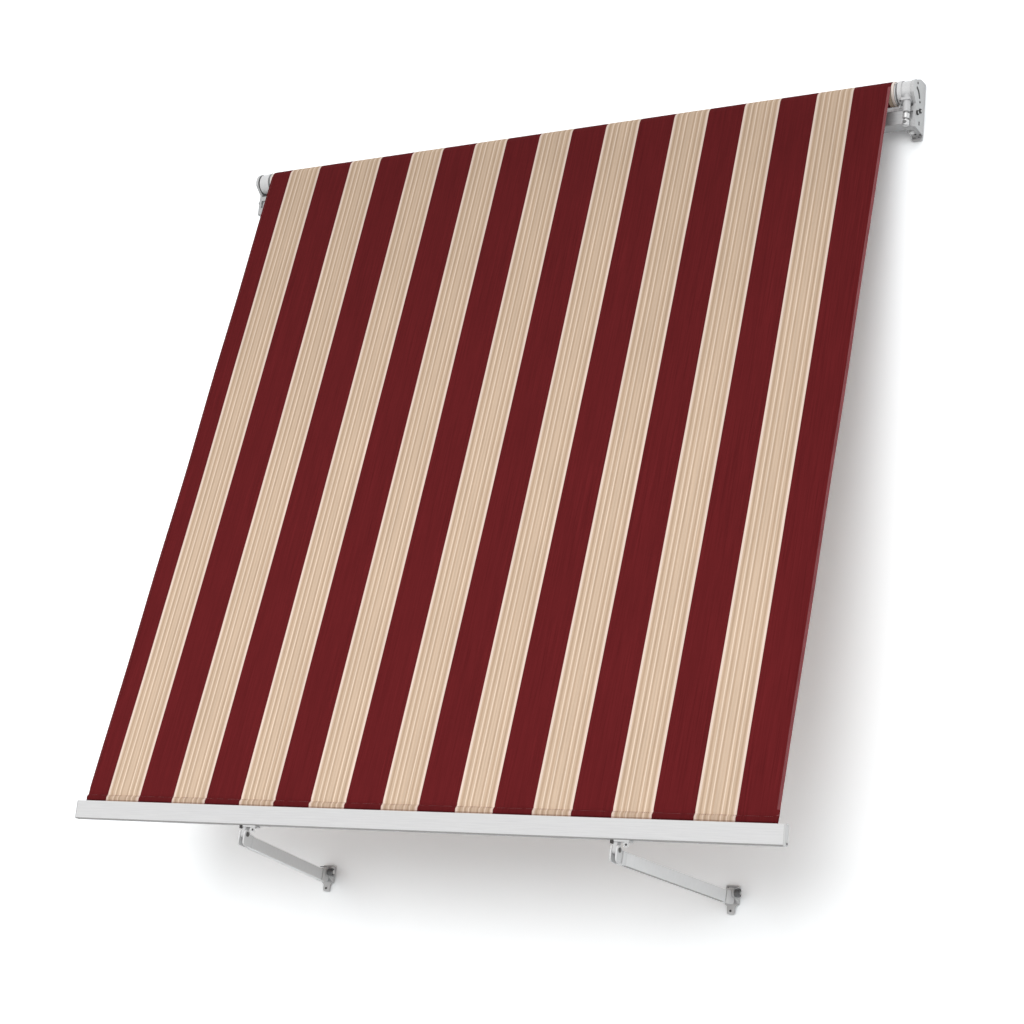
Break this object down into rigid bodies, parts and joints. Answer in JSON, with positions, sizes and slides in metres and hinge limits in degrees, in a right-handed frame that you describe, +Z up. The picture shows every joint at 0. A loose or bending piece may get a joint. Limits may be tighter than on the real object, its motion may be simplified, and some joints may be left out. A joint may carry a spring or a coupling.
{
  "type": "fabric awning",
  "caption": "Wall-mounted drop-arm awning with a striped fabric sheet on a cranked roller, a square support bar, hinged arms and a slim front bar.",
  "frame": {"origin": "on the wall face of the left end bracket, level with the middle of the square support bar", "axes": "+X along the wall to the viewer's right, +Y into the wall, +Z up"},
  "size_m": [2.054, 0.5207, 2.1333],
  "materials": {
    "cast_aluminium": "satin cast",
    "coated_aluminium": "satin grey coating",
    "anodised_aluminium": "matt anodised",
    "zinc_plated_steel": "bright zinc plate",
    "galvanised_steel": "dull galvanised",
    "spring_steel": "dark oiled",
    "grey_plastic": "fine grain",
    "gear_bronze": "machined",
    "striped_cloth": "woven red and beige stripes"
  },
  "bodies": {
    "frame": {"arm_bracket_left": "cast_aluminium", "arm_bracket_right": "cast_aluminium", "arm_pin_left": "zinc_plated_steel", "arm_pin_right": "zinc_plated_steel", "arm_spring_left": "spring_steel", "arm_spring_right": "spring_steel", "bearing_bush_left": "gear_bronze", "bearing_bush_right": "gear_bronze", "bearing_cover": "cast_aluminium", "end_bracket_left": "cast_aluminium", "end_bracket_right": "cast_aluminium", "left_bearing": "cast_aluminium", "lock_bolt_left": "zinc_plated_steel", "lock_bolt_right": "zinc_plated_steel", "support_bar": "galvanised_steel", "winch_cover": "cast_aluminium", "winch_housing": "cast_aluminium"},
    "roller": {"roller_tube": "galvanised_steel", "roller_plug_left": "grey_plastic", "roller_plug_right": "grey_plastic", "worm_wheel": "gear_bronze", "wound_cloth": "striped_cloth"},
    "crank": {"worm_spindle": "zinc_plated_steel", "crank_eye": "zinc_plated_steel"},
    "canopy": {"fabric_sheet": "striped_cloth"},
    "arm_left": {"arm_tube_left": "anodised_aluminium", "arm_tongue_left": "cast_aluminium", "arm_fork_left": "cast_aluminium"},
    "arm_right": {"arm_tube_right": "anodised_aluminium", "arm_tongue_right": "cast_aluminium", "arm_fork_right": "cast_aluminium"},
    "front_bar": {"bar_cap_left": "grey_plastic", "bar_cap_right": "grey_plastic", "cap_screw_left": "zinc_plated_steel", "cap_screw_right": "zinc_plated_steel", "ear_screw_left": "zinc_plated_steel", "ear_screw_right": "zinc_plated_steel", "front_bar": "coated_aluminium", "front_fitting_left": "cast_aluminium", "front_fitting_right": "cast_aluminium", "front_pin_left": "zinc_plated_steel", "front_pin_right": "zinc_plated_steel", "hem_rod": "zinc_plated_steel"}
  },
  "joints": [
    {"name": "roller_spin", "type": "hinge", "parent": "frame", "child": "roller", "pos_m": [1.009, -0.061, 0.064], "axis": [-1, 0, 0], "range_deg": [0, 730]},
    {"name": "crank_turn", "type": "hinge", "parent": "frame", "child": "crank", "pos_m": [2.016, -0.077, 0.002], "axis": [0, 0, -1], "range_deg": [0, 8760]},
    {"name": "canopy_swing", "type": "hinge", "parent": "frame", "child": "canopy", "pos_m": [1.009, -0.061, 0.064], "axis": [-1, 0, 0], "range_deg": [-6.41, 0], "deforming": ["fabric_sheet"]},
    {"name": "arm_left_swing", "type": "hinge", "parent": "frame", "child": "arm_left", "pos_m": [0.491, -0.032, -1.97032], "axis": [-1, 0, 0], "range_deg": [0, 60], "deforming": ["arm_spring_left"]},
    {"name": "arm_right_swing", "type": "hinge", "parent": "frame", "child": "arm_right", "pos_m": [1.669, -0.032, -1.97032], "axis": [-1, 0, 0], "range_deg": [0, 60], "deforming": ["arm_spring_right"]},
    {"name": "front_bar_turn", "type": "hinge", "parent": "arm_left", "child": "front_bar", "pos_m": [0.566, -0.50846, -1.93562], "axis": [-1, 0, 0], "range_deg": [-66.41, 0]}
  ],
  "couplings": [
    {"joint": "crank_turn", "follows": "roller_spin", "ratio": 12},
    {"joint": "canopy_swing", "follows": "roller_spin", "ratio": -0.0087754},
    {"joint": "arm_left_swing", "follows": "roller_spin", "ratio": 0.082192},
    {"joint": "arm_right_swing", "follows": "roller_spin", "ratio": 0.082192},
    {"joint": "front_bar_turn", "follows": "roller_spin", "ratio": -0.090967}
  ]
}
